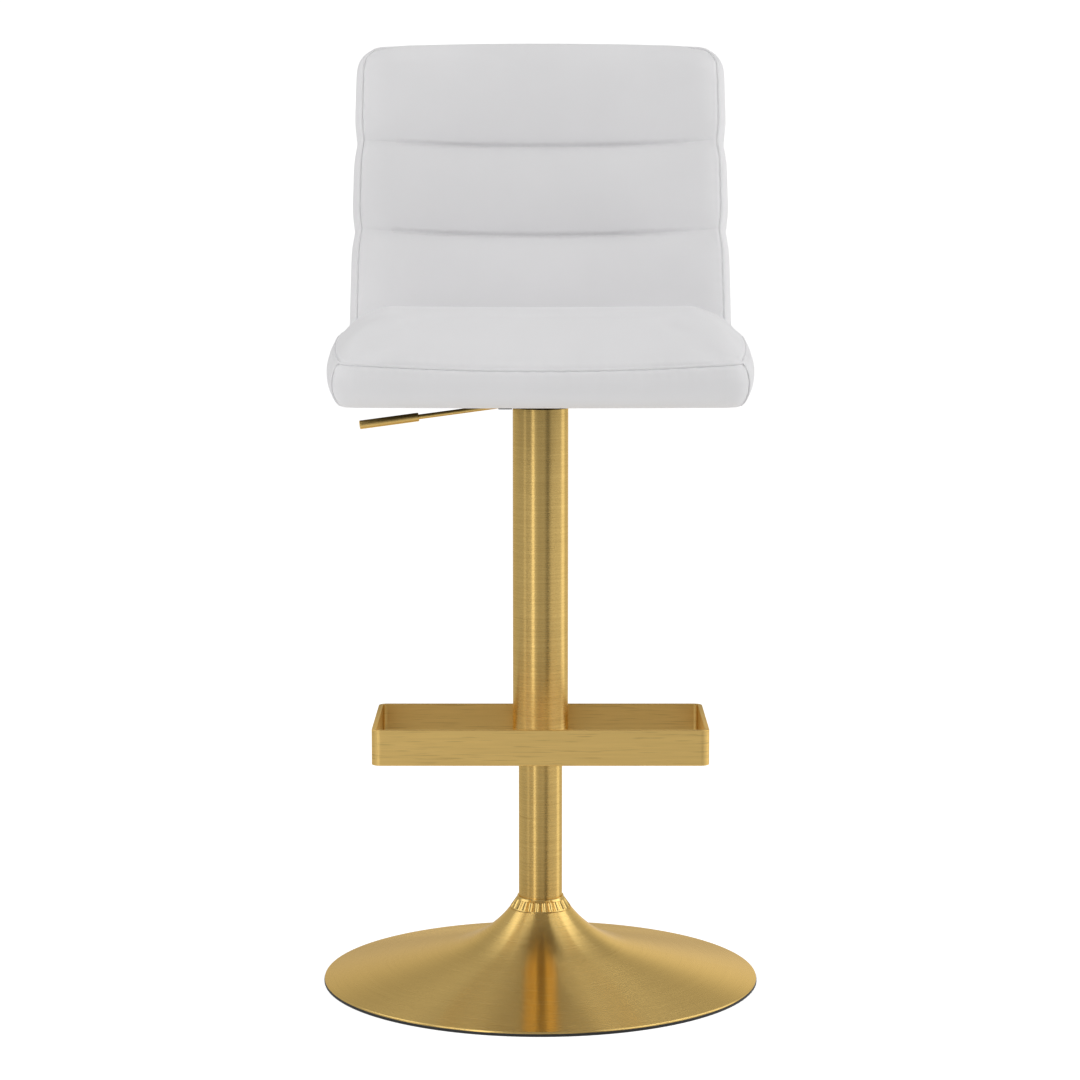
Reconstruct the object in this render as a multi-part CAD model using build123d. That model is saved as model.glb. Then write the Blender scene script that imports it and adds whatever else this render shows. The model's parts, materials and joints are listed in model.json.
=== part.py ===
from build123d import *
import math
import os

# Bar stool with a gas lift, a swivel and a footrest.
# Millimetres, +Z up. The origin is on the column's axis at floor level, and the stool faces -Y.

# Base
BASE_R = 225.0          # outer radius of the rim
RUBBER_H = 3.0          # rubber ring that the base stands on
RUBBER_R = 225.4
RUBBER_INNER_R = 212.0
RUBBER_EDGE_R = 0.8
RIM_Z = 4.6             # height where the cone would meet the rim
RIM_FILLET = 1.8
CONE_ANGLE = 13.0       # degrees above level
FLARE_START_R = 95.0    # radius where the cone turns into the flare
FLARE_R = 110.0          # radius of the flare's arc
NECK_Z = 75.5           # top of the shell
NECK_LIP_R = 23.2       # hole in the shell for the column
SHELL_T = 1.5
COVER_T = 1.5           # plate that closes the underside
COVER_R = 217.0
WEIGHT_R = 180.0
WEIGHT_T = 7.0
WEIGHT_BORE_R = 24.0
HUB_FLANGE_R = 58.0
HUB_FLANGE_T = 6.0
HUB_R = 29.0
HUB_TOP_Z = 64.0
HUB_BOLT_PCD = 86.0
HUB_BOLT_START = 45.0   # degrees
HUB_BOLT_R = 4.0
HUB_BOLT_HEAD_R = 7.5   # across the corners
HUB_BOLT_HEAD_H = 5.0
COVER_SCREW_PCD = 300.0
COVER_SCREW_R = 2.5
COVER_SCREW_HEAD_R = 5.0
COVER_SCREW_HEAD_H = 2.0
COVER_SCREW_COUNT = 6
COVER_SCREW_SHORT = 1.0  # from its tip up to the top of the weight
HOLE_GAP = 0.5          # radial clearance of a bolt in its hole

# Fluted collar round the foot of the column
COLLAR_BOTTOM_R = 31.5
COLLAR_TOP_R = 24.0
COLLAR_TOP_Z = 88.5
COLLAR_LIP = 2.2        # height of the plain ring at each end
COLLAR_FLUTES = 26
FLUTE_R = 2.9
FLUTE_DEPTH = 1.15

# Column
TUBE_R = 22.5           # lower tube
TUBE_WALL = 2.0
TUBE_BOTTOM_Z = 9.0
TUBE_TOP_Z = 500.0
COVER_TUBE_R = 28.5     # tube that rises with the seat
COVER_TUBE_WALL = 1.5
COVER_TUBE_BOTTOM_Z = 245.0
COVER_TUBE_TOP_Z = 596.5
BUSH_INSET = 1.0
BUSH_H = 40.0
RUN = 0.08              # radial clearance of a running fit
TOP_RING_Z = 578.0
TOP_RING_H = 10.0
GUIDE_H = 70.0          # bushing that guides the gas cylinder
GUIDE_LIP_H = 3.0

# Gas spring
LIFT_DOWN = 48.0        # travel below the height modelled
LIFT_UP = 162.0         # travel above it
CYLINDER_R = 14.0
CYLINDER_WALL = 2.0
CYLINDER_BOTTOM_Z = 108.0
CYLINDER_TOP_Z = 594.0
TAPER_BOTTOM_Z = 560.0
TAPER_TOP_R = 13.4
CYLINDER_LIP = 1.5      # rim turned in over the valve
CYLINDER_LIP_T = 2.0
ROD_GUIDE_H = 22.0
SEAL_H = 5.0
STOP_GAP = 0.5
ROD_R = 5.0
ROD_TIP_R = 4.0
ROD_BOTTOM_Z = 6.5
PISTON_H = 16.0
PISTON_GROOVE_H = 5.0
PISTON_GROOVE_R = 9.0
VALVE_H = 30.0
PIN_R = 3.0
PIN_TOP_Z = 600.85
PIN_LENGTH = 26.0
PIN_CHAMFER = 0.6

# Swivel bearing at the foot of the rod
END_CAP_Z = 12.0
END_CAP_T = 4.0
WASHER_R = 12.0
WASHER_T = 2.0
BALL_R = 1.95
BALL_GAP = 0.05         # ball to washer
BALL_PITCH_R = 8.3
BALL_COUNT = 10
CAGE_T = 1.6
CAGE_R = 11.5
CAGE_INNER_R = 5.0
CAGE_POCKET_R = 2.0
CLIP_T = 1.2
CLIP_R = 8.5
CLIP_GROOVE_R = 3.2
CLIP_MOUTH = 4.0
ROD_WASHER_T = 1.0
ROD_WASHER_GAP = 0.3    # under the end cap
BUMPER_R = 12.0

# Plate under the seat, and its socket for the cylinder
SEAT_BOTTOM_Z = 613.0
DUST_COVER_T = 0.8
PLATE_T = 2.5
PLATE_SIZE = 180.0
PLATE_CORNER_R = 12.0
PLATE_FLANGE_H = 6.0
PLATE_FLANGE_LENGTH = 140.0
SOCKET_R = 20.0
BOLT_SPACING = 130.0
BOLT_R = 3.0
BOLT_HEAD_R = 5.8       # across the corners
BOLT_HEAD_H = 4.0
BOLT_WASHER_R = 8.0
BOLT_WASHER_T = 1.6
TEE_NUT_R = 4.0
TEE_NUT_FLANGE_R = 9.5
TEE_NUT_FLANGE_T = 1.5
TEE_NUT_BARREL_H = 9.0

# Release lever, along -X
LEVER_SLOPE = math.degrees(math.atan2(14.0, 103.0))
GRIP_END_X = -185.0
GRIP_END_Z = 579.0
GRIP_LENGTH = 60.5
GRIP_R = 4.5
GRIP_EDGE_R = 0.8
GRIP_SOLID = 20.0       # of its outer end, before the lever's rod begins
LEVER_R = 2.5
LEVER_INNER_X = 6.0
PIVOT_X = -36.0
PIVOT_R = 2.0
EYE_R = 4.0
EYE_WIDTH = 8.0
EAR_T = 3.0
EAR_HALF_LENGTH = 7.0
EAR_GAP = 0.5
EAR_BOTTOM_Z = 595.4
LEVER_SLOT_WIDTH = 8.0
LEVER_SLOT_Z = 596.6

# Footrest, a flat bar bent into a rectangle and welded behind the cover tube
FOOTREST_WIDTH = 337.0
FOOTREST_DEPTH = 157.0
FOOTREST_BAR_T = 4.5
FOOTREST_BAR_H = 36.0
FOOTREST_BOTTOM_Z = 248.5
FOOTREST_CORNER_R = 9.0
FOOTREST_EDGE_R = 0.7
WELD_WIDTH = 26.0
WELD_T = 6.0
WELD_SHORT = 2.0        # of each of the bar's edges, and into the tube

# Seat
LEATHER_T = 2.0
BOARD_T = 12.0
BOARD_INSET = 14.0
DUST_COVER_INSET = 16.0
SEAT_FRONT_Y = -209.0
SEAT_BACK_Y = 140.0
SEAT_FRONT_BOW = 6.0    # how far the front edge curves back towards its corners
SEAT_FRONT_HALF = 200.0
SEAT_MID_Y = -20.0
SEAT_MID_HALF = 214.5
SEAT_BACK_HALF = 218.0
SEAT_CORNER_R = 22.0
SEAT_TOP_Z = 697.0
WELT_Z = 656.0
WELT_INSET = 1.0
WELT_R = 1.6
WELT_PROUD = 1.7        # from the seat's edge out to the centre of its welt
# Height and inset of the seat's outline, from its bottom edge to the top of its crown
SEAT_SECTIONS = (
    (SEAT_BOTTOM_Z, 6.0),
    (SEAT_BOTTOM_Z + 6, 1.0),
    (SEAT_BOTTOM_Z + 20, 0.0),
    (WELT_Z, WELT_INSET),
    (WELT_Z + 13, 7.0),
    (SEAT_TOP_Z - 13, 22.0),
    (SEAT_TOP_Z - 4, 48.0),
    (SEAT_TOP_Z, 90.0),
)

# Back, drawn flat and then stood up and leaned
BACK_TILT = 4.0         # degrees
BACK_FRONT_Y = 141.0
BACK_BOTTOM_Z = 616.0
BACK_HEIGHT = 354.0
BACK_DEPTH = 58.0
BACK_BOTTOM_HALF = 207.0
BACK_TOP_HALF = 196.5
BACK_CORNER_R = 25.0
BACK_BOARD_FRONT = 40.0
BACK_BOARD_INSET = 14.0
BACK_WELT_DEPTH = 7.0
BACK_WELT_INSET = 6.0
REAR_PANEL_T = 3.0
REAR_PANEL_INSET = 12.0
# Depth and inset of the back's outline, from its front to its rear
BACK_SECTIONS = (
    (0.0, 26.0),
    (3.0, 12.0),
    (BACK_WELT_DEPTH, BACK_WELT_INSET),
    (18.0, 0.0),
    (44.0, 0.0),
    (53.0, 3.0),
    (BACK_DEPTH, 9.0),
)

# Two steel straps that tie the back to the seat board
STRAP_T = 4.0
STRAP_WIDTH = 40.0
STRAP_X = 110.0
STRAP_FRONT_Y = 40.0
STRAP_LEG_BOTTOM = 11.0
STRAP_LEG_TOP = 230.0
STRAP_SCREW_R = 2.5
STRAP_SCREW_HEAD_R = 5.5
STRAP_SCREW_HEAD_H = 3.0
STRAP_SCREW_LENGTH = 9.0
STRAP_SEAT_SCREWS_Y = (60.0, 110.0)
STRAP_BACK_SCREWS_H = (120.0, 210.0)

# Heights that follow from the ones above
COVER_BOTTOM_Z = RUBBER_H
WEIGHT_BOTTOM_Z = COVER_BOTTOM_Z + COVER_T
WEIGHT_TOP_Z = WEIGHT_BOTTOM_Z + WEIGHT_T
TUBE_INNER_R = TUBE_R - TUBE_WALL
COVER_TUBE_INNER_R = COVER_TUBE_R - COVER_TUBE_WALL
CYLINDER_INNER_R = CYLINDER_R - CYLINDER_WALL
BEARING_Z = END_CAP_Z + END_CAP_T
ROD_WASHER_TOP_Z = END_CAP_Z - ROD_WASHER_GAP
CLIP_TOP_Z = ROD_WASHER_TOP_Z - ROD_WASHER_T
BALL_Z = BEARING_Z + WASHER_T + BALL_GAP + BALL_R
UPPER_WASHER_Z = BALL_Z + BALL_R + BALL_GAP
SHOULDER_Z = UPPER_WASHER_Z + WASHER_T
BUMPER_TOP_Z = CYLINDER_BOTTOM_Z - LIFT_DOWN - STOP_GAP
PISTON_BOTTOM_Z = CYLINDER_BOTTOM_Z + ROD_GUIDE_H + LIFT_UP + STOP_GAP
PISTON_TOP_Z = PISTON_BOTTOM_Z + PISTON_H
DUST_COVER_Z = SEAT_BOTTOM_Z - DUST_COVER_T
PLATE_Z = DUST_COVER_Z - PLATE_T
BOARD_TOP_Z = SEAT_BOTTOM_Z + BOARD_T
LEVER_RISE = math.tan(math.radians(LEVER_SLOPE))
PIVOT_Z = GRIP_END_Z + (PIVOT_X - GRIP_END_X) * LEVER_RISE
FOOTREST_BACK_Y = COVER_TUBE_R + FOOTREST_BAR_T
FOOTREST_MID_Y = FOOTREST_BACK_Y - FOOTREST_DEPTH / 2

UP = (Align.CENTER, Align.CENTER, Align.MIN)
STAND_BACK = Pos(0, BACK_FRONT_Y, BACK_BOTTOM_Z) * Rot(90 - BACK_TILT, 0, 0)


def rod(radius, low, high):
    """Upright cylinder on the column's axis."""
    return Pos(0, 0, low) * Cylinder(radius, high - low, align=UP)


def tube(outer, inner, low, high):
    """Upright ring on the column's axis."""
    return rod(outer, low, high) - rod(inner, low, high)


def turned(points):
    """Solid of revolution about the column's axis, from (radius, height) points."""
    outline = make_face(Polyline(*points, close=True))
    return revolve(Plane.XZ * outline, axis=Axis.Z)


def hexagon(corner_radius, low, high):
    """Upright six-sided head on the column's axis."""
    return Pos(0, 0, low) * extrude(RegularPolygon(corner_radius, 6), high - low)


def at_each(places, solid):
    """Copies of one solid, one at each (x, y)."""
    return Compound(children=[Pos(x, y, 0) * solid for x, y in places])


def circle_places(diameter, count, start=0.0):
    """Points evenly spaced on a circle about the column's axis."""
    turns = [math.radians(start + 360 * i / count) for i in range(count)]
    return [(diameter / 2 * math.cos(t), diameter / 2 * math.sin(t)) for t in turns]


def less(solid, *others):
    """The solid with the other pieces' room cut out of it."""
    for other in others:
        for piece in other.solids():
            solid = solid - piece
    return solid


# Base

def make_base_shell():
    angle = math.radians(CONE_ANGLE)
    cone_top_z = RIM_Z + (BASE_R - FLARE_START_R) * math.tan(angle)
    centre = (FLARE_START_R + FLARE_R * math.sin(angle), cone_top_z + FLARE_R * math.cos(angle))
    lip_z = NECK_Z - SHELL_T
    drop = SHELL_T / math.cos(angle)

    def flare(radius, top_z):
        start = 180 + math.degrees(math.asin((centre[1] - top_z) / radius))
        return CenterArc(centre, radius, start, 270 - CONE_ANGLE - start)

    outer, inner = flare(FLARE_R, NECK_Z), flare(FLARE_R + SHELL_T, lip_z)
    wall_r = BASE_R - SHELL_T
    outline = make_face([
        outer,
        Line(outer @ 1, (BASE_R, RIM_Z)),
        Line((BASE_R, RIM_Z), (BASE_R, RUBBER_H)),
        Line((BASE_R, RUBBER_H), (wall_r, RUBBER_H)),
        Line((wall_r, RUBBER_H), (wall_r, RIM_Z - drop + SHELL_T * math.tan(angle))),
        Line((wall_r, RIM_Z - drop + SHELL_T * math.tan(angle)), inner @ 1),
        inner,
        Line(inner @ 0, (NECK_LIP_R, lip_z)),
        Line((NECK_LIP_R, lip_z), (NECK_LIP_R, NECK_Z)),
        Line((NECK_LIP_R, NECK_Z), outer @ 0),
    ])
    corners = outline.vertices()
    rim = corners.sort_by_distance((BASE_R, RIM_Z, 0))[0]
    outline = fillet(rim, RIM_FILLET)
    inner_rim = outline.vertices().sort_by_distance((wall_r, RIM_Z - SHELL_T, 0))[0]
    outline = fillet(inner_rim, RIM_FILLET - SHELL_T)
    return revolve(Plane.XZ * outline, axis=Axis.Z)


def make_base_rubber_ring():
    ring = tube(RUBBER_R, RUBBER_INNER_R, 0, RUBBER_H)
    outer_edge = ring.edges().filter_by(GeomType.CIRCLE).filter_by(lambda e: e.radius > BASE_R)
    return fillet(outer_edge, RUBBER_EDGE_R)


def make_base_bottom_cover():
    hole = rod(COVER_SCREW_R, COVER_BOTTOM_Z, WEIGHT_BOTTOM_Z)
    holes = at_each(circle_places(COVER_SCREW_PCD, COVER_SCREW_COUNT), hole)
    return less(rod(COVER_R, COVER_BOTTOM_Z, WEIGHT_BOTTOM_Z), holes)


def make_cover_screws():
    head = rod(COVER_SCREW_HEAD_R, COVER_BOTTOM_Z - COVER_SCREW_HEAD_H, COVER_BOTTOM_Z)
    screw = head + rod(COVER_SCREW_R, COVER_BOTTOM_Z, WEIGHT_TOP_Z - COVER_SCREW_SHORT)
    return at_each(circle_places(COVER_SCREW_PCD, COVER_SCREW_COUNT), screw)


def make_hub_bolts():
    head = hexagon(HUB_BOLT_HEAD_R, WEIGHT_BOTTOM_Z, WEIGHT_BOTTOM_Z + HUB_BOLT_HEAD_H)
    bolt = head + rod(HUB_BOLT_R, WEIGHT_BOTTOM_Z, WEIGHT_TOP_Z + HUB_FLANGE_T)
    return at_each(circle_places(HUB_BOLT_PCD, 4, HUB_BOLT_START), bolt)


def make_base_weight_disc(cover_screws):
    pockets = at_each(
        circle_places(HUB_BOLT_PCD, 4, HUB_BOLT_START),
        rod(HUB_BOLT_HEAD_R + HOLE_GAP, WEIGHT_BOTTOM_Z, WEIGHT_BOTTOM_Z + HUB_BOLT_HEAD_H)
        + rod(HUB_BOLT_R, WEIGHT_BOTTOM_Z, WEIGHT_TOP_Z),
    )
    disc = tube(WEIGHT_R, WEIGHT_BORE_R, WEIGHT_BOTTOM_Z, WEIGHT_TOP_Z)
    return less(disc, pockets, cover_screws)


def make_base_hub(hub_bolts):
    flange_top = WEIGHT_TOP_Z + HUB_FLANGE_T
    hub = turned([
        (TUBE_R, WEIGHT_TOP_Z),
        (HUB_FLANGE_R, WEIGHT_TOP_Z),
        (HUB_FLANGE_R, flange_top),
        (HUB_R, flange_top),
        (HUB_R, HUB_TOP_Z),
        (TUBE_R, HUB_TOP_Z),
    ])
    return less(hub, hub_bolts)


def make_column_collar():
    slope = (COLLAR_BOTTOM_R - COLLAR_TOP_R) / (COLLAR_TOP_Z - NECK_Z)
    collar = turned([
        (TUBE_R, NECK_Z),
        (COLLAR_BOTTOM_R, NECK_Z),
        (COLLAR_BOTTOM_R, NECK_Z + COLLAR_LIP / 2),
        (COLLAR_TOP_R, COLLAR_TOP_Z - COLLAR_LIP / 2),
        (COLLAR_TOP_R, COLLAR_TOP_Z),
        (TUBE_R, COLLAR_TOP_Z),
    ])
    tilt = math.degrees(math.atan(slope))
    length = (COLLAR_TOP_Z - NECK_Z - 2 * COLLAR_LIP) / math.cos(math.radians(tilt))
    mid_r = (COLLAR_BOTTOM_R + COLLAR_TOP_R) / 2 + FLUTE_R - FLUTE_DEPTH
    mid_z = (NECK_Z + COLLAR_TOP_Z) / 2
    cutter = Pos(mid_r, 0, mid_z) * Rot(0, -tilt, 0) * Cylinder(FLUTE_R, length)
    turns = [360 * i / COLLAR_FLUTES for i in range(COLLAR_FLUTES)]
    return collar - [Rot(0, 0, turn) * cutter for turn in turns]


# Column and swivel bearing

def make_guide_bushing():
    return turned([
        (CYLINDER_R + RUN, TUBE_TOP_Z - GUIDE_H),
        (TUBE_INNER_R, TUBE_TOP_Z - GUIDE_H),
        (TUBE_INNER_R, TUBE_TOP_Z),
        (TUBE_R, TUBE_TOP_Z),
        (TUBE_R, TUBE_TOP_Z + GUIDE_LIP_H),
        (CYLINDER_R + RUN, TUBE_TOP_Z + GUIDE_LIP_H),
    ])


def ball_places():
    return circle_places(2 * BALL_PITCH_R, BALL_COUNT)


def make_thrust_ball_cage():
    half = CAGE_T / 2
    ring = tube(CAGE_R, CAGE_INNER_R, BALL_Z - half, BALL_Z + half)
    pockets = at_each(ball_places(), rod(CAGE_POCKET_R, BALL_Z - half, BALL_Z + half))
    return less(ring, pockets)


def make_thrust_balls():
    return at_each(ball_places(), Pos(0, 0, BALL_Z) * Sphere(BALL_R))


def make_piston_rod():
    return turned([
        (0, ROD_BOTTOM_Z),
        (ROD_TIP_R, ROD_BOTTOM_Z),
        (ROD_TIP_R, CLIP_TOP_Z - CLIP_T),
        (CLIP_GROOVE_R, CLIP_TOP_Z - CLIP_T),
        (CLIP_GROOVE_R, CLIP_TOP_Z),
        (ROD_TIP_R, CLIP_TOP_Z),
        (ROD_TIP_R, SHOULDER_Z),
        (ROD_R, SHOULDER_Z),
        (ROD_R, PISTON_BOTTOM_Z),
        (ROD_TIP_R, PISTON_BOTTOM_Z),
        (ROD_TIP_R, PISTON_TOP_Z),
        (0, PISTON_TOP_Z),
    ])


def make_piston():
    wall = CYLINDER_INNER_R - RUN
    groove = PISTON_BOTTOM_Z + (PISTON_H - PISTON_GROOVE_H) / 2
    return turned([
        (ROD_TIP_R, PISTON_BOTTOM_Z),
        (wall, PISTON_BOTTOM_Z),
        (wall, groove),
        (PISTON_GROOVE_R, groove),
        (PISTON_GROOVE_R, groove + PISTON_GROOVE_H),
        (wall, groove + PISTON_GROOVE_H),
        (wall, PISTON_TOP_Z),
        (ROD_TIP_R, PISTON_TOP_Z),
    ])


def make_piston_seal():
    groove = PISTON_BOTTOM_Z + (PISTON_H - PISTON_GROOVE_H) / 2
    return tube(CYLINDER_INNER_R - RUN, PISTON_GROOVE_R, groove, groove + PISTON_GROOVE_H)


def make_rod_clip():
    ring = tube(CLIP_R, CLIP_GROOVE_R, CLIP_TOP_Z - CLIP_T, CLIP_TOP_Z)
    mouth = Pos(0, CLIP_R / 2, CLIP_TOP_Z - CLIP_T) * Box(CLIP_MOUTH, CLIP_R, CLIP_T, align=UP)
    return ring - mouth


# Gas cylinder

def make_pressure_cylinder():
    return turned([
        (CYLINDER_INNER_R, CYLINDER_BOTTOM_Z),
        (CYLINDER_R, CYLINDER_BOTTOM_Z),
        (CYLINDER_R, TAPER_BOTTOM_Z),
        (TAPER_TOP_R, CYLINDER_TOP_Z),
        (CYLINDER_INNER_R - CYLINDER_LIP, CYLINDER_TOP_Z),
        (CYLINDER_INNER_R - CYLINDER_LIP, CYLINDER_TOP_Z - CYLINDER_LIP_T),
        (CYLINDER_INNER_R, CYLINDER_TOP_Z - CYLINDER_LIP_T),
    ])


def make_rod_guide():
    low = CYLINDER_BOTTOM_Z
    return turned([
        (ROD_R + RUN, low),
        (CYLINDER_INNER_R, low),
        (CYLINDER_INNER_R, low + ROD_GUIDE_H - SEAL_H),
        (ROD_R + RUN, low + ROD_GUIDE_H - SEAL_H),
    ])


def make_valve_body():
    top = CYLINDER_TOP_Z - CYLINDER_LIP_T
    return turned([
        (PIN_R + RUN, top - VALVE_H),
        (CYLINDER_INNER_R, top - VALVE_H),
        (CYLINDER_INNER_R, top),
        (PIN_R + RUN, top),
    ])


def make_release_pin():
    pin = rod(PIN_R, PIN_TOP_Z - PIN_LENGTH, PIN_TOP_Z)
    return chamfer(pin.edges().sort_by(Axis.Z)[-1], PIN_CHAMFER)


# Plate, socket and lever

def bolt_places():
    half = BOLT_SPACING / 2
    return [(x, y) for x in (-half, half) for y in (-half, half)]


def make_seat_plate():
    sheet = RectangleRounded(PLATE_SIZE, PLATE_SIZE, PLATE_CORNER_R)
    holes = [Pos(x, y) * Circle(BOLT_R + HOLE_GAP) for x, y in bolt_places()]
    plate = Pos(0, 0, PLATE_Z) * extrude(sheet - holes, PLATE_T)
    flange = Box(PLATE_T, PLATE_FLANGE_LENGTH, PLATE_FLANGE_H, align=UP)
    edge = (PLATE_SIZE - PLATE_T) / 2
    return plate + [Pos(x, 0, PLATE_Z - PLATE_FLANGE_H) * flange for x in (-edge, edge)]


def make_plate_socket():
    socket = turned([
        (CYLINDER_R, TAPER_BOTTOM_Z),
        (SOCKET_R, TAPER_BOTTOM_Z),
        (SOCKET_R, PLATE_Z),
        (TAPER_TOP_R, PLATE_Z),
        (TAPER_TOP_R, CYLINDER_TOP_Z),
    ])
    slot = Box(SOCKET_R * 2, LEVER_SLOT_WIDTH, PLATE_Z - LEVER_SLOT_Z, align=UP)
    return socket - Pos(-SOCKET_R, 0, LEVER_SLOT_Z) * slot


def make_seat_bolts():
    under = PLATE_Z - BOLT_WASHER_T
    head = hexagon(BOLT_HEAD_R, under - BOLT_HEAD_H, under)
    return at_each(bolt_places(), head + rod(BOLT_R, under, BOARD_TOP_Z))


def make_bolt_washers():
    return at_each(bolt_places(), tube(BOLT_WASHER_R, BOLT_R, PLATE_Z - BOLT_WASHER_T, PLATE_Z))


def make_tee_nuts():
    return at_each(bolt_places(), turned([
        (BOLT_R, BOARD_TOP_Z - TEE_NUT_BARREL_H),
        (TEE_NUT_R, BOARD_TOP_Z - TEE_NUT_BARREL_H),
        (TEE_NUT_R, BOARD_TOP_Z),
        (TEE_NUT_FLANGE_R, BOARD_TOP_Z),
        (TEE_NUT_FLANGE_R, BOARD_TOP_Z + TEE_NUT_FLANGE_T),
        (BOLT_R, BOARD_TOP_Z + TEE_NUT_FLANGE_T),
    ]))


def make_lever_bracket():
    inner = EYE_WIDTH / 2 + EAR_GAP
    ear = Box(2 * EAR_HALF_LENGTH, EAR_T, PLATE_Z - EAR_BOTTOM_Z, align=UP)
    web = Box(2 * EAR_HALF_LENGTH, 2 * inner, EAR_T / 2, align=UP)
    ears = [Pos(PIVOT_X, side * (inner + EAR_T / 2), EAR_BOTTOM_Z) * ear for side in (-1, 1)]
    bracket = Pos(PIVOT_X, 0, PLATE_Z - EAR_T / 2) * web + ears
    hole = Pos(PIVOT_X, 0, PIVOT_Z) * Rot(90, 0, 0) * Cylinder(PIVOT_R, 4 * inner)
    return bracket - hole


def make_lever_pivot_pin():
    length = 2 * (EYE_WIDTH / 2 + EAR_GAP + EAR_T)
    return Pos(PIVOT_X, 0, PIVOT_Z) * Rot(90, 0, 0) * Cylinder(PIVOT_R, length)


def lever_line(start_x, end_x, radius):
    """Round bar along the lever's line, between two values of x."""
    length = (end_x - start_x) / math.cos(math.radians(LEVER_SLOPE))
    start_z = GRIP_END_Z + (start_x - GRIP_END_X) * LEVER_RISE
    return Pos(start_x, 0, start_z) * Rot(0, 90 - LEVER_SLOPE, 0) * Cylinder(radius, length, align=UP)


def make_lever_rod():
    bar = lever_line(GRIP_END_X + GRIP_SOLID, LEVER_INNER_X, LEVER_R)
    at_pivot = Pos(PIVOT_X, 0, PIVOT_Z) * Rot(90, 0, 0)
    return bar + at_pivot * Cylinder(EYE_R, EYE_WIDTH) - at_pivot * Cylinder(PIVOT_R + RUN, EYE_WIDTH)


def make_lever_grip(lever_rod):
    grip = lever_line(GRIP_END_X, GRIP_END_X + GRIP_LENGTH, GRIP_R)
    grip = fillet(grip.edges().filter_by(GeomType.CIRCLE), GRIP_EDGE_R)
    return less(grip, lever_rod)


# Footrest

def make_footrest_loop():
    outer = RectangleRounded(FOOTREST_WIDTH, FOOTREST_DEPTH, FOOTREST_CORNER_R)
    inner = RectangleRounded(
        FOOTREST_WIDTH - 2 * FOOTREST_BAR_T,
        FOOTREST_DEPTH - 2 * FOOTREST_BAR_T,
        FOOTREST_CORNER_R - FOOTREST_BAR_T,
    )
    loop = Pos(0, FOOTREST_MID_Y, FOOTREST_BOTTOM_Z) * extrude(outer - inner, FOOTREST_BAR_H)
    loop = fillet(loop.edges().filter_by(Axis.Z, reverse=True), FOOTREST_EDGE_R)
    weld = Box(WELD_WIDTH, WELD_T, FOOTREST_BAR_H - 2 * WELD_SHORT, align=UP)
    weld = Pos(0, COVER_TUBE_R - WELD_SHORT, FOOTREST_BOTTOM_Z + WELD_SHORT) * weld
    return loop + weld - rod(COVER_TUBE_R, 0, CYLINDER_TOP_Z)


# Seat

def seat_outline(inset, z):
    """The seat's plan at one height, drawn in from its widest line."""
    front = SEAT_FRONT_Y + inset
    corner = front + SEAT_FRONT_BOW
    rear = SEAT_BACK_Y - inset
    front_half = SEAT_FRONT_HALF - inset
    mid_half = SEAT_MID_HALF - inset
    rear_half = SEAT_BACK_HALF - inset
    outline = make_face([
        ThreePointArc((-front_half, corner), (0, front), (front_half, corner)),
        ThreePointArc((front_half, corner), (mid_half, SEAT_MID_Y), (rear_half, rear)),
        Line((rear_half, rear), (-rear_half, rear)),
        ThreePointArc((-rear_half, rear), (-mid_half, SEAT_MID_Y), (-front_half, corner)),
    ])
    return Pos(0, 0, z) * fillet(outline.vertices(), SEAT_CORNER_R)


def seat_form(skin):
    """The crowned seat, made smaller all round by the thickness of a skin, but for its underside."""
    sections = []
    for z, inset in SEAT_SECTIONS:
        sections.append(seat_outline(inset + skin, max(SEAT_BOTTOM_Z, z - skin)))
    sections[0] = seat_outline(SEAT_SECTIONS[0][1] + skin, SEAT_BOTTOM_Z)
    return loft(sections, ruled=True)


def piping(outline):
    """Round welt cord sewn along the edge of an outline."""
    path = outline.face().outer_wire()
    start = Plane(origin=path @ 0, z_dir=path % 0)
    return sweep(start * Circle(WELT_R), path=path)


def make_seat_board(tee_nuts, seat_bolts):
    board = extrude(seat_outline(BOARD_INSET, SEAT_BOTTOM_Z), BOARD_T)
    return less(board, tee_nuts, seat_bolts)


def make_seat_dust_cover(seat_bolts):
    sheet = Pos(0, 0, DUST_COVER_Z - SEAT_BOTTOM_Z) * seat_outline(DUST_COVER_INSET, SEAT_BOTTOM_Z)
    return less(extrude(sheet, DUST_COVER_T), seat_bolts)


# Back

def back_outline(inset, depth):
    """The back's outline, drawn flat: x across, y up the back, and -z towards its rear."""
    low, high = inset, BACK_HEIGHT - inset
    outline = make_face(Polyline(
        (-(BACK_BOTTOM_HALF - inset), low),
        (BACK_BOTTOM_HALF - inset, low),
        (BACK_TOP_HALF - inset, high),
        (-(BACK_TOP_HALF - inset), high),
        close=True,
    ))
    return Pos(0, 0, -depth) * fillet(outline.vertices(), BACK_CORNER_R)


def back_form(skin):
    """The back, made smaller all round by the thickness of a skin."""
    sections = []
    for depth, inset in BACK_SECTIONS:
        depth = min(max(depth, skin), BACK_DEPTH - skin)
        sections.append(back_outline(inset + skin, depth))
    return STAND_BACK * loft(sections, ruled=True)


def back_slab(front, thickness, inset):
    """Flat panel inside the back's outline, from one depth to another."""
    return STAND_BACK * extrude(back_outline(inset, front + thickness), thickness)


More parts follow.
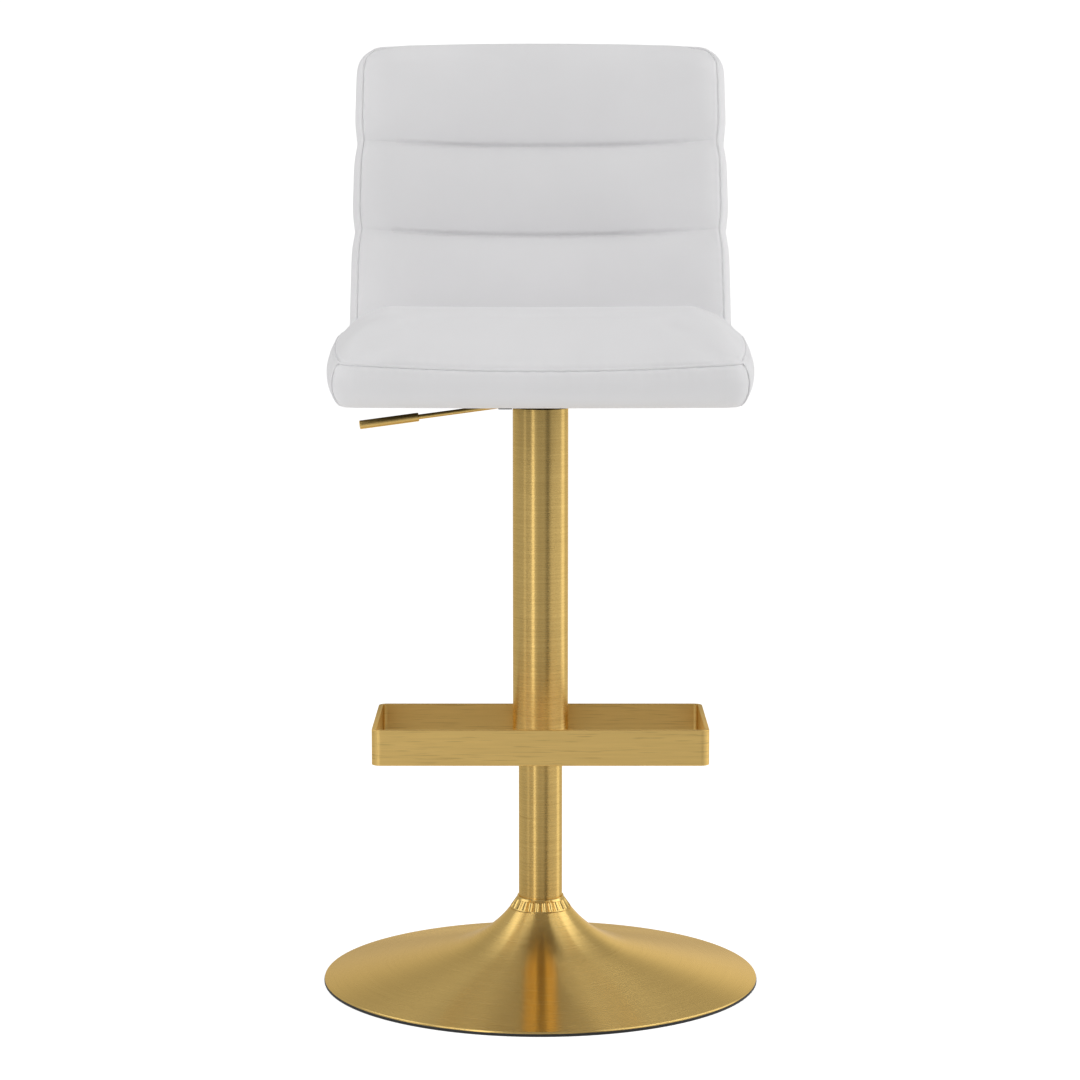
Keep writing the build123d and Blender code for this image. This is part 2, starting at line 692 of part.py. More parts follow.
def make_back_brackets():
    low = BOARD_TOP_Z
    leg_centre = BACK_BOARD_FRONT - STRAP_T / 2
    tilt = math.radians(BACK_TILT)
    foot_back_y = BACK_FRONT_Y + leg_centre * math.cos(tilt) + STRAP_LEG_BOTTOM * math.sin(tilt)
    foot = Box(STRAP_WIDTH, foot_back_y - STRAP_FRONT_Y, STRAP_T, align=UP)
    foot = Pos(0, (foot_back_y + STRAP_FRONT_Y) / 2, low) * foot
    leg = Box(STRAP_WIDTH, STRAP_LEG_TOP - STRAP_LEG_BOTTOM, STRAP_T)
    leg = STAND_BACK * Pos(0, (STRAP_LEG_TOP + STRAP_LEG_BOTTOM) / 2, -leg_centre) * leg
    return at_each([(-STRAP_X, 0), (STRAP_X, 0)], foot + leg)


def strap_screw():
    """One screw, head up, with the underside of its head at the origin."""
    return rod(STRAP_SCREW_HEAD_R, 0, STRAP_SCREW_HEAD_H) + rod(STRAP_SCREW_R, -STRAP_SCREW_LENGTH, 0)


def make_bracket_screws():
    screws = []
    for x in (-STRAP_X, STRAP_X):
        for y in STRAP_SEAT_SCREWS_Y:
            screws.append(Pos(x, y, BOARD_TOP_Z + STRAP_T) * strap_screw())
        for height in STRAP_BACK_SCREWS_H:
            screws.append(STAND_BACK * Pos(x, height, STRAP_T - BACK_BOARD_FRONT) * strap_screw())
    return Compound(children=screws)


def less_screws(straps, screws):
    """The straps with the screws' holes."""
    return Compound(children=[less(strap, screws) for strap in straps.solids()])


def make_all():
    """Every sub-part, by the name of its node."""
    parts = {}

    parts["cover_screws"] = make_cover_screws()
    parts["hub_bolts"] = make_hub_bolts()
    parts["base_shell"] = make_base_shell()
    parts["base_rubber_ring"] = make_base_rubber_ring()
    parts["base_bottom_cover"] = make_base_bottom_cover()
    parts["base_weight_disc"] = make_base_weight_disc(parts["cover_screws"])
    parts["base_hub"] = make_base_hub(parts["hub_bolts"])
    parts["column_collar"] = make_column_collar()
    parts["lower_column_tube"] = tube(TUBE_R, TUBE_INNER_R, TUBE_BOTTOM_Z, TUBE_TOP_Z)
    parts["guide_bushing"] = make_guide_bushing()
    parts["column_end_cap"] = tube(TUBE_INNER_R, ROD_TIP_R + RUN, END_CAP_Z, BEARING_Z)
    parts["thrust_washer_lower"] = tube(WASHER_R, ROD_TIP_R + RUN, BEARING_Z, BEARING_Z + WASHER_T)

    parts["thrust_ball_cage"] = make_thrust_ball_cage()
    parts["thrust_balls"] = make_thrust_balls()
    parts["thrust_washer_upper"] = tube(WASHER_R, ROD_TIP_R, UPPER_WASHER_Z, SHOULDER_Z)

    parts["piston_rod"] = make_piston_rod()
    parts["rod_washer"] = tube(CLIP_R, ROD_TIP_R, CLIP_TOP_Z, ROD_WASHER_TOP_Z)
    parts["rod_clip"] = make_rod_clip()
    parts["rod_bumper"] = tube(BUMPER_R, ROD_R, SHOULDER_Z, BUMPER_TOP_Z)
    parts["piston"] = make_piston()
    parts["piston_seal"] = make_piston_seal()

    guide_top = CYLINDER_BOTTOM_Z + ROD_GUIDE_H
    parts["pressure_cylinder"] = make_pressure_cylinder()
    parts["rod_guide"] = make_rod_guide()
    parts["rod_seal"] = tube(CYLINDER_INNER_R, ROD_R + RUN, guide_top - SEAL_H, guide_top)
    parts["valve_body"] = make_valve_body()
    parts["release_pin"] = make_release_pin()

    bush_bottom = COVER_TUBE_BOTTOM_Z + BUSH_INSET
    ring_top = TOP_RING_Z + TOP_RING_H
    parts["cover_tube"] = tube(COVER_TUBE_R, COVER_TUBE_INNER_R, COVER_TUBE_BOTTOM_Z, COVER_TUBE_TOP_Z)
    parts["cover_tube_bush"] = tube(COVER_TUBE_INNER_R, TUBE_R + RUN, bush_bottom, bush_bottom + BUSH_H)
    parts["tube_top_ring"] = tube(COVER_TUBE_INNER_R, SOCKET_R, TOP_RING_Z, ring_top)
    parts["footrest_loop"] = make_footrest_loop()

    parts["seat_bolts"] = make_seat_bolts()
    parts["bolt_washers"] = make_bolt_washers()
    parts["tee_nuts"] = make_tee_nuts()
    parts["seat_plate"] = make_seat_plate()
    parts["plate_socket"] = make_plate_socket()
    parts["lever_bracket"] = make_lever_bracket()
    parts["lever_pivot_pin"] = make_lever_pivot_pin()
    parts["lever_rod"] = make_lever_rod()
    parts["lever_grip"] = make_lever_grip(parts["lever_rod"])

    straps, screws = make_back_brackets(), make_bracket_screws()
    parts["back_brackets"] = less_screws(straps, screws)
    parts["bracket_screws"] = screws
    board = make_seat_board(parts["tee_nuts"], parts["seat_bolts"])
    parts["seat_board"] = less(board, screws)
    parts["seat_dust_cover"] = make_seat_dust_cover(parts["seat_bolts"])
    seat_core = seat_form(LEATHER_T)
    full_board = extrude(seat_outline(BOARD_INSET, SEAT_BOTTOM_Z), BOARD_T)
    parts["seat_foam"] = less(seat_core, full_board, straps, screws, parts["tee_nuts"])
    parts["seat_piping"] = piping(seat_outline(WELT_INSET - WELT_PROUD, WELT_Z))
    parts["seat_cover"] = less(seat_form(0.0), seat_core, straps)

    panel = back_slab(BACK_DEPTH - REAR_PANEL_T, REAR_PANEL_T, REAR_PANEL_INSET)
    full_board = back_slab(BACK_BOARD_FRONT, BOARD_T, BACK_BOARD_INSET)
    back_core = back_form(LEATHER_T)
    parts["back_rear_panel"] = panel
    parts["back_board"] = less(full_board, screws)
    parts["back_foam"] = less(back_core, full_board, straps, screws, panel)
    parts["back_piping"] = STAND_BACK * piping(back_outline(BACK_WELT_INSET, BACK_WELT_DEPTH))
    parts["back_cover"] = less(back_form(0.0), back_core, straps, panel, parts["back_piping"])
    return parts


os.makedirs("parts", exist_ok=True)
for name, shape in make_all().items():
    export_step(shape, f"parts/{name}.step")
    print(name, len(shape.solids()), round(shape.volume))
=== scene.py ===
import json
import math

import bpy
import numpy as np
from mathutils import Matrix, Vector
from mathutils.kdtree import KDTree


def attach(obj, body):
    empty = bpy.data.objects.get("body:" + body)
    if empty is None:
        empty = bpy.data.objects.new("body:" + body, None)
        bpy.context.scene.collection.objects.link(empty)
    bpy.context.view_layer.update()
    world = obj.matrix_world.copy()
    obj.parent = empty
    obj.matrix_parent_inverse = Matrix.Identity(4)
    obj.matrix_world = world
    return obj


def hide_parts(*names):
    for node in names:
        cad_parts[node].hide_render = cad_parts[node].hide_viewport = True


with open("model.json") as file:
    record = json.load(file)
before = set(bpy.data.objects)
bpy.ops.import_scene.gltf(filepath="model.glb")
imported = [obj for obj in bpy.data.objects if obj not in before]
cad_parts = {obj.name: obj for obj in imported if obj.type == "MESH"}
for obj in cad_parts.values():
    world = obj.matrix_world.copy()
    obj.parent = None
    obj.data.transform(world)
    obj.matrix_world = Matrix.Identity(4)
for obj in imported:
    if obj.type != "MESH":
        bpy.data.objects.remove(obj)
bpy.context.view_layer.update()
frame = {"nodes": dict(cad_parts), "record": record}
NODES = frame["nodes"]
MM = 0.001


# ---------------------------------------------------------------- camera, lights and stage

CAMERA_DISTANCE = 3.1673    # from the column's axis, along -Y
CAMERA_HEIGHT = 0.842
CAMERA_X = -0.0005
CAMERA_DOWN = 6.87          # degrees below level
CAMERA_LENS = 103.47        # focal length, in millimetres
SENSOR_WIDTH = 36.0         # in millimetres
CAMERA_REACH = 50.0         # nothing further off is drawn


def make_camera():
    data = bpy.data.cameras.new("camera")
    data.lens = CAMERA_LENS
    data.sensor_width = SENSOR_WIDTH
    data.clip_end = CAMERA_REACH
    camera = bpy.data.objects.new("camera", data)
    camera.location = (CAMERA_X, -CAMERA_DISTANCE, CAMERA_HEIGHT)
    camera.rotation_euler = (math.radians(90 - CAMERA_DOWN), 0, 0)
    bpy.context.scene.collection.objects.link(camera)
    bpy.context.scene.camera = camera


LIGHT_AIM = np.array((0.0, 0.0, 0.55))

# Name, azimuth and elevation in degrees, distance, width and height in metres, and radiance.
# Azimuth 0 is at the stool's front, and 90 at its right in the picture.
LIGHTS = (
    ("key_strip", -31, 0, 3.2, 0.62, 3.0, 0.85),
    ("thin_strip", -68, 0, 3.0, 0.45, 2.8, 0.32),
    ("side_right", 108, 0, 2.6, 1.0, 2.8, 0.50),
    ("front_left", -42, 28, 3.2, 1.9, 1.8, 1.30),
    ("front_right", 52, 30, 3.2, 1.8, 1.8, 1.30),
    ("high_left", -96, 34, 2.8, 1.8, 1.6, 0.95),
    ("high_right", 96, 34, 2.8, 1.8, 1.6, 1.00),
    ("overhead", 0, 86, 2.6, 2.2, 2.2, 0.15),
    ("rear_strip", 172, 34, 3.0, 0.05, 1.8, 1.7),
)


def softbox(name, azimuth, elevation, distance, width, height, radiance):
    """Rectangular area light, turned towards LIGHT_AIM."""
    a, e = math.radians(azimuth), math.radians(elevation)
    way = np.array((math.sin(a) * math.cos(e), -math.cos(a) * math.cos(e), math.sin(e)))
    data = bpy.data.lights.new(name, "AREA")
    data.shape = "RECTANGLE"
    data.size = width
    data.size_y = height
    data.energy = radiance * math.pi * width * height
    light = bpy.data.objects.new(name, data)
    light.location = LIGHT_AIM + way * distance
    light.rotation_mode = "QUATERNION"
    light.rotation_quaternion = Vector(way).to_track_quat("Z", "Y")
    bpy.context.scene.collection.objects.link(light)


def make_lights():
    for light in LIGHTS:
        softbox(*light)


# Brightness of the surroundings near the horizon, by azimuth in degrees as for the lights
HORIZON = (
    (-180, 0.60), (-150, 0.55), (-80, 0.40), (-50, 0.38), (-20, 0.50), (-6, 0.36), (14, 0.38), (31, 0.08),
    (50, 0.50), (80, 0.62), (120, 0.66), (150, 0.66), (170, 0.82), (180, 0.60),
)
# The same, higher up
SKY = (
    (-180, 0.38), (-155, 0.40), (-125, 0.62), (-60, 0.50), (-30, 0.40), (-14, 0.34), (16, 0.34), (32, 0.40),
    (60, 0.50), (100, 0.76), (130, 0.52), (157, 0.34), (180, 0.38),
)
GROUND = 0.86                   # brightness below the horizon
# Heights between which one gives way to another, from -1 straight down to 1 straight up
SKY_FROM, SKY_FULL = 0.25, 0.55
GROUND_FROM, GROUND_FULL = -0.25, -0.55


def azimuth_ramp(tree, turn, levels):
    """Grey that depends on the azimuth. turn goes from 0 to 1 round the horizon."""
    ramp = node(tree, "ShaderNodeValToRGB")
    ramp.color_ramp.interpolation = "EASE"
    stops = ramp.color_ramp.elements
    while len(stops) < len(levels):
        stops.new(0.5)
    for stop, (azimuth, level) in zip(stops, levels):
        stop.position = (azimuth + 180) / 360
        stop.color = (level, level, level, 1)
    tree.links.new(turn, ramp.inputs["Fac"])
    return ramp.outputs["Color"]


def make_world():
    """Grey surroundings with dark and light bands, one set near the horizon and one above it."""
    world = bpy.data.worlds.new("studio")
    world.use_nodes = True
    tree = world.node_tree
    background = tree.nodes["Background"]
    place = node(tree, "ShaderNodeTexCoord").outputs["Generated"]
    turned = node(tree, "ShaderNodeMapping")
    turned.inputs["Rotation"].default_value = (0, 0, math.radians(90))    # puts azimuth 0 at -Y
    tree.links.new(place, turned.inputs["Vector"])
    around = node(tree, "ShaderNodeTexGradient", gradient_type="RADIAL")
    tree.links.new(turned.outputs[0], around.inputs["Vector"])
    low, high = (azimuth_ramp(tree, around.outputs["Fac"], levels) for levels in (HORIZON, SKY))
    split = node(tree, "ShaderNodeSeparateXYZ")
    tree.links.new(place, split.inputs[0])
    height = split.outputs["Z"]
    in_sky = remap(tree, height, SKY_FROM, SKY_FULL, interpolation_type="SMOOTHSTEP")
    in_ground = remap(tree, height, GROUND_FROM, GROUND_FULL, interpolation_type="SMOOTHSTEP")
    walls = blend(tree, in_sky, low, high)
    everything = blend(tree, in_ground, walls, (GROUND, GROUND, GROUND))
    tree.links.new(everything, background.inputs["Color"])
    bpy.context.scene.world = world


STAGE_HALF = 14.0           # half the sheet's width
STAGE_FRONT = -14.0         # its front edge
STAGE_BEND = 3.2            # where the floor starts to curve up
STAGE_BEND_RADIUS = 1.6
STAGE_BEND_STEPS = 12
STAGE_TOP = 9.0
STAGE_GLOW = 0.75           # makes the sheet pure white in the picture
SURROUND_RADIUS = 12.0
SURROUND_BOTTOM = -0.5
SURROUND_TOP = 10.0
SURROUND_SIDES = 48
SURROUND_GLOW = 1.05


def glowing_paper(name, tone, roughness, glow):
    """Matt grey that gives off white light."""
    material, shader, tree = new_material(name, (tone, tone, tone), roughness)
    shader.inputs["Specular IOR Level"].default_value = 0.0
    shader.inputs["Emission Color"].default_value = (1, 1, 1, 1)
    shader.inputs["Emission Strength"].default_value = glow
    return material, shader, tree


def make_stage():
    """One pale sheet, which is floor and then a curve up into the backdrop, with white walls round it."""
    outline = [(STAGE_FRONT, 0.0), (STAGE_BEND, 0.0)]
    for i in range(1, STAGE_BEND_STEPS + 1):
        t = math.radians(90 * i / STAGE_BEND_STEPS)
        outline.append((STAGE_BEND + STAGE_BEND_RADIUS * math.sin(t), STAGE_BEND_RADIUS * (1 - math.cos(t))))
    outline.append((STAGE_BEND + STAGE_BEND_RADIUS, STAGE_TOP))
    points = [(x, y, z) for y, z in outline for x in (-STAGE_HALF, STAGE_HALF)]
    faces = [(2 * i, 2 * i + 1, 2 * i + 3, 2 * i + 2) for i in range(len(outline) - 1)]
    stage = new_object("studio_floor", points, faces)
    material, shader, tree = glowing_paper("studio_paper", 0.62, 0.9, STAGE_GLOW)
    clear_from_behind(tree, shader)
    stage.visible_glossy = False
    stage.visible_diffuse = False
    stage.data.materials.append(material)
    make_surround()


def clear_from_behind(tree, shader):
    """A view from under the floor sees the stool through it."""
    output = next(n for n in tree.nodes if n.type == "OUTPUT_MATERIAL")
    choice = node(tree, "ShaderNodeMixShader")
    tree.links.new(node(tree, "ShaderNodeNewGeometry").outputs["Backfacing"], choice.inputs[0])
    tree.links.new(shader.outputs[0], choice.inputs[1])
    tree.links.new(node(tree, "ShaderNodeBsdfTransparent").outputs[0], choice.inputs[2])
    tree.links.new(choice.outputs[0], output.inputs["Surface"])


def make_surround():
    """White wall all round, outside the lights. Only the camera sees it."""
    count = SURROUND_SIDES
    turns = [2 * math.pi * i / count for i in range(count)]
    points = [(SURROUND_RADIUS * math.cos(t), SURROUND_RADIUS * math.sin(t), z)
              for t in turns for z in (SURROUND_BOTTOM, SURROUND_TOP)]
    faces = [(2 * i, 2 * i + 1, (2 * i + 3) % (2 * count), (2 * i + 2) % (2 * count)) for i in range(count)]
    wall = new_object("studio_surround", points, faces)
    material, _, _ = glowing_paper("surround_paper", 0.0, 1.0, SURROUND_GLOW)
    wall.data.materials.append(material)
    wall.visible_diffuse = False
    wall.visible_glossy = False
    wall.visible_transmission = False
    wall.visible_shadow = False
    return wall


# ---------------------------------------------------------------- meshes

def new_object(name, points, faces):
    """Smooth-shaded mesh, linked to the scene."""
    mesh = bpy.data.meshes.new(name)
    mesh.from_pydata([tuple(p) for p in points], [], faces)
    mesh.polygons.foreach_set("use_smooth", [True] * len(mesh.polygons))
    mesh.update()
    obj = bpy.data.objects.new(name, mesh)
    bpy.context.scene.collection.objects.link(obj)
    return obj


def vertices_of(obj):
    points = np.empty(len(obj.data.vertices) * 3)
    obj.data.vertices.foreach_get("co", points)
    return points.reshape(-1, 3)


def set_vertices(obj, points):
    obj.data.vertices.foreach_set("co", np.asarray(points, float).ravel())
    obj.data.update()


def apply_modifiers(obj):
    graph = bpy.context.evaluated_depsgraph_get()
    mesh = bpy.data.meshes.new_from_object(obj.evaluated_get(graph))
    obj.modifiers.clear()
    obj.data = mesh


def subdivide(obj, levels):
    modifier = obj.modifiers.new("subdivide", "SUBSURF")
    modifier.levels = levels
    modifier.render_levels = levels
    apply_modifiers(obj)


ASKEW = (0.31, 0.17, 0.94)     # a direction that no cord runs along
CORD_SIDES = 10


def tube_along(name, line, radius, closed):
    """Round cord along a line of points."""
    sides = CORD_SIDES
    line = np.asarray(line)
    if closed:
        ahead, behind = np.roll(line, -1, 0), np.roll(line, 1, 0)
    else:
        ahead = np.vstack([line[1:], line[-1:]])
        behind = np.vstack([line[:1], line[:-1]])
    along = ahead - behind
    along /= np.linalg.norm(along, axis=1)[:, None]
    across = np.cross(along, ASKEW)
    across /= np.linalg.norm(across, axis=1)[:, None]
    up = np.cross(along, across)
    turns = np.linspace(0, 2 * math.pi, sides, endpoint=False)
    points = [p + radius * (math.cos(t) * a + math.sin(t) * u)
              for p, a, u in zip(line, across, up) for t in turns]
    count = len(line)
    faces = []
    for i in range(count if closed else count - 1):
        here, there = i * sides, (i + 1) % count * sides
        for k in range(sides):
            after = (k + 1) % sides
            faces.append((here + k, here + after, there + after, there + k))
    if not closed:
        faces.append(tuple(reversed(range(sides))))
        faces.append(tuple(range((count - 1) * sides, count * sides)))
    return new_object(name, points, faces)


# ---------------------------------------------------------------- materials

def new_material(name, color, roughness, metallic=0.0):
    material = bpy.data.materials.new(name)
    material.use_nodes = True
    nodes = material.node_tree.nodes
    shader = nodes["Principled BSDF"]
    shader.inputs["Base Color"].default_value = (*color, 1)
    shader.inputs["Roughness"].default_value = roughness
    shader.inputs["Metallic"].default_value = metallic
    return material, shader, material.node_tree


def node(tree, kind, **settings):
    made = tree.nodes.new(kind)
    for key, value in settings.items():
        setattr(made, key, value)
    return made


def remap(tree, value, start, end, low=0.0, high=1.0, **settings):
    """Maps start..end to low..high, and holds the result there beyond them."""
    made = node(tree, "ShaderNodeMapRange", **settings)
    for name, number in (("From Min", start), ("From Max", end), ("To Min", low), ("To Max", high)):
        made.inputs[name].default_value = number
    tree.links.new(value, made.inputs["Value"])
    return made.outputs["Result"]


def blend(tree, factor, first, second, **settings):
    """Goes from the first colour, a socket, to the second, a socket or three numbers."""
    made = node(tree, "ShaderNodeMix", data_type="RGBA", **settings)
    tree.links.new(factor, made.inputs["Factor"])
    tree.links.new(first, made.inputs["A"])
    if isinstance(second, tuple):
        made.inputs["B"].default_value = (*second, 1)
    else:
        tree.links.new(second, made.inputs["B"])
    return made.outputs["Result"]


NOISE_RANGE = (0.3, 0.7)        # where most of a noise's values lie


def noise(tree, vector, scale, detail=3.0, roughness=0.5):
    made = node(tree, "ShaderNodeTexNoise")
    made.inputs["Scale"].default_value = scale
    made.inputs["Detail"].default_value = detail
    made.inputs["Roughness"].default_value = roughness
    tree.links.new(vector, made.inputs["Vector"])
    return made.outputs["Fac"]


def spread_of(tree, value, low, high):
    """Maps a noise's middle range to low..high."""
    return remap(tree, value, *NOISE_RANGE, low, high)


def color_between(tree, value, dark, light):
    """Goes from dark to light over a noise's middle range."""
    ramp = node(tree, "ShaderNodeValToRGB")
    for stop, position, color in zip(ramp.color_ramp.elements, NOISE_RANGE, (dark, light)):
        stop.position = position
        stop.color = (*color, 1)
    tree.links.new(value, ramp.inputs["Fac"])
    return ramp.outputs["Color"]


def bump(tree, shader, height, strength, distance, before=None):
    """Bump of the given depth, on top of an earlier one where there is one."""
    made = node(tree, "ShaderNodeBump")
    made.inputs["Strength"].default_value = strength
    made.inputs["Distance"].default_value = distance
    tree.links.new(height, made.inputs["Height"])
    if before is not None:
        tree.links.new(before, made.inputs["Normal"])
    tree.links.new(made.outputs["Normal"], shader.inputs["Normal"])
    return made.outputs["Normal"]


def with_radius(tree, place):
    """The same coordinates, with the distance from the Z axis in place of z."""
    split = node(tree, "ShaderNodeSeparateXYZ")
    tree.links.new(place, split.inputs[0])
    added = node(tree, "ShaderNodeMath", operation="ADD")
    for i, axis in enumerate("XY"):
        power = node(tree, "ShaderNodeMath", operation="MULTIPLY")
        tree.links.new(split.outputs[axis], power.inputs[0])
        tree.links.new(split.outputs[axis], power.inputs[1])
        tree.links.new(power.outputs[0], added.inputs[i])
    root = node(tree, "ShaderNodeMath", operation="SQRT")
    tree.links.new(added.outputs[0], root.inputs[0])
    join = node(tree, "ShaderNodeCombineXYZ")
    tree.links.new(split.outputs["X"], join.inputs["X"])
    tree.links.new(split.outputs["Y"], join.inputs["Y"])
    tree.links.new(root.outputs[0], join.inputs["Z"])
    return join.outputs[0]


def stretched(tree, scale, radial=False):
    """Coordinates in which a noise turns into brush lines: round the column, or round a disc's centre."""
    source = node(tree, "ShaderNodeTexCoord").outputs["Object"]
    if radial:
        source = with_radius(tree, source)
    mapping = node(tree, "ShaderNodeMapping")
    mapping.inputs["Scale"].default_value = scale
    tree.links.new(source, mapping.inputs["Vector"])
    return mapping.outputs[0]


GOLD_DARK = (0.76, 0.52, 0.175)
GOLD_LIGHT = (0.86, 0.60, 0.210)
GOLD_EDGE = (1.0, 0.86, 0.60)       # tint of reflections seen at a low angle
GOLD_STREAK = (0.34, 0.28, 0.22)    # a dark streak's share of the gold's colour
STREAK_RANGE = (0.60, 0.72)         # values of the noise over which a streak comes in
PATCH_SCALE = 0.22                  # of broad patches, next to the brush lines
STREAK_SCALE = 0.45
BRUSH_DEPTH = 0.04 * MM


def paint_shade_behind(tree, color, start, end, share):
    """Painted shade: multiplies a colour by share behind y = end, and leaves it alone in front of y = start.
    """
    split = node(tree, "ShaderNodeSeparateXYZ")
    tree.links.new(node(tree, "ShaderNodeTexCoord").outputs["Object"], split.inputs[0])
    amount = remap(tree, split.outputs["Y"], start, end)
    return blend(tree, amount, color, (share, share, share), blend_type="MULTIPLY")


def brushed_gold(name, scale, radial=False, lines=0.35, roughness=(0.24, 0.34), shade=1.0, patches=1.0,
                 stretch=0.9, streaks=0.2, behind=None):
    """Brush lines, broad patches of tone, and sparse darker streaks along the lines.

    lines is the strength of the lines' bump, shade multiplies the colour, patches is the share of the step
    from GOLD_LIGHT to GOLD_DARK, stretch is the anisotropy, streaks is how far a streak darkens, and behind,
    where given, is the start, end and share of a painted shade that darkens the colour towards the rear.
    """
    material, shader, tree = new_material(name, GOLD_LIGHT, 0.3, 1.0)
    patch_scale = tuple(s * PATCH_SCALE for s in scale)
    streak_scale = tuple(s * STREAK_SCALE for s in scale)
    fine = noise(tree, stretched(tree, scale, radial), 1.0, 4.0, 0.65)
    coarse = noise(tree, stretched(tree, patch_scale, radial), 1.0, 2.0)
    marks = noise(tree, stretched(tree, streak_scale, radial), 1.0, 1.5)
    light = np.array(GOLD_LIGHT) * shade
    dark = light + (np.array(GOLD_DARK) * shade - light) * patches
    amount = remap(tree, marks, *STREAK_RANGE, 0.0, streaks)
    color = blend(tree, amount, color_between(tree, coarse, dark, light), tuple(light * GOLD_STREAK))
    # painted shade: the colour is darkened towards the rear, by the object's own y
    if behind:
        color = paint_shade_behind(tree, color, *behind)
    tree.links.new(color, shader.inputs["Base Color"])
    tree.links.new(spread_of(tree, fine, *roughness), shader.inputs["Roughness"])
    shader.inputs["Specular Tint"].default_value = (*GOLD_EDGE, 1)
    shader.inputs["Anisotropic"].default_value = stretch
    shader.inputs["Anisotropic Rotation"].default_value = 0.25
    tangent = node(tree, "ShaderNodeTangent", direction_type="RADIAL", axis="Z")
    tree.links.new(tangent.outputs[0], shader.inputs["Tangent"])
    bump(tree, shader, fine, lines, BRUSH_DEPTH)
    return material


LEATHER = (0.925, 0.92, 0.93)
LEATHER_TONES = (0.975, 1.015)      # darkest and lightest, as shares of that colour
PEBBLES = 900.0                     # per metre
PEBBLE_EDGE = 0.12                  # share of a pebble that slopes down to its edge
PEBBLE_DEPTH = 0.12 * MM
RIPPLES = 55.0                      # per metre
RIPPLE_DEPTH = 1.2 * MM


def white_leather(name):
    """Fine pebbled grain over soft ripples, with slight changes of tone."""
    material, shader, tree = new_material(name, LEATHER, 0.42)
    place = node(tree, "ShaderNodeTexCoord").outputs["Object"]
    dark, light = (tuple(c * tone for c in LEATHER) for tone in LEATHER_TONES)
    tint = color_between(tree, noise(tree, place, 9.0, 2.0), dark, light)
    tree.links.new(tint, shader.inputs["Base Color"])
    cells = node(tree, "ShaderNodeTexVoronoi", feature="DISTANCE_TO_EDGE")
    cells.inputs["Scale"].default_value = PEBBLES
    tree.links.new(place, cells.inputs["Vector"])
    pebble = remap(tree, cells.outputs["Distance"], 0.0, PEBBLE_EDGE)
    grain = bump(tree, shader, pebble, 0.10, PEBBLE_DEPTH)
    soft = noise(tree, place, RIPPLES, 3.0)
    bump(tree, shader, soft, 0.12, RIPPLE_DEPTH, grain)
    tree.links.new(spread_of(tree, soft, 0.40, 0.50), shader.inputs["Roughness"])
    shader.inputs["Coat Weight"].default_value = 0.06
    shader.inputs["Coat Roughness"].default_value = 0.35
    return material


SPECK_CONTRAST = 0.12


def speckled(name, color, roughness, metallic=0.0, scale=400.0, depth=0.06 * MM):
    """Cast, moulded or plated surface: small variations of colour, gloss and height."""
    material, shader, tree = new_material(name, color, roughness, metallic)
    place = node(tree, "ShaderNodeTexCoord").outputs["Object"]
    spots = noise(tree, place, scale, 4.0)
    broad = noise(tree, place, scale / 25, 2.0)
    dark = tuple(c * (1 - SPECK_CONTRAST) for c in color)
    light = tuple(min(1.0, c * (1 + SPECK_CONTRAST)) for c in color)
    tree.links.new(color_between(tree, broad, dark, light), shader.inputs["Base Color"])
    tree.links.new(spread_of(tree, spots, roughness * 0.85, min(1.0, roughness * 1.15)),
                   shader.inputs["Roughness"])
    bump(tree, shader, spots, 0.5, depth)
    return material


def plywood(name):
    """Wood with its lines along X and its plies stacked along Z."""
    material, shader, tree = new_material(name, (0.6, 0.45, 0.28), 0.6)
    lines = noise(tree, stretched(tree, (14.0, 220.0, 1400.0)), 1.0, 4.0)
    tint = color_between(tree, lines, (0.44, 0.30, 0.17), (0.70, 0.54, 0.35))
    tree.links.new(tint, shader.inputs["Base Color"])
    bump(tree, shader, lines, 0.3, 0.1 * MM)
    return material


THREADS = 420.0     # scale of the cloth's threads


def woven(name, color):
    """Plain cloth: two crossed sets of waves."""
    material, shader, tree = new_material(name, color, 0.9)
    place = node(tree, "ShaderNodeTexCoord").outputs["Object"]
    heights = []
    for direction in "XY":
        wave = node(tree, "ShaderNodeTexWave", bands_direction=direction)
        wave.inputs["Scale"].default_value = THREADS
        tree.links.new(place, wave.inputs["Vector"])
        heights.append(wave.outputs["Fac"])
    both = node(tree, "ShaderNodeMath", operation="MULTIPLY")
    tree.links.new(heights[0], both.inputs[0])
    tree.links.new(heights[1], both.inputs[1])
    bump(tree, shader, both.outputs[0], 0.4, 0.2 * MM)
    tint = color_between(tree, both.outputs[0], tuple(c * 0.6 for c in color), color)
    tree.links.new(tint, shader.inputs["Base Color"])
    return material


# Scales of the brush lines' noise along x, y and z: fine across the lines, coarse along them
TUBE_LINES = (45.0, 45.0, 2600.0)
BAR_LINES = (60.0, 60.0, 1700.0)
DISC_LINES = (22.0, 22.0, 1500.0)
BAR_REAR_PAINTED_SHADE = (-90 * MM, 10 * MM, 0.72)      # painted shade: the footrest's rear bar is painted up to 28 % darker than its front one, standing in for the duller reflection there
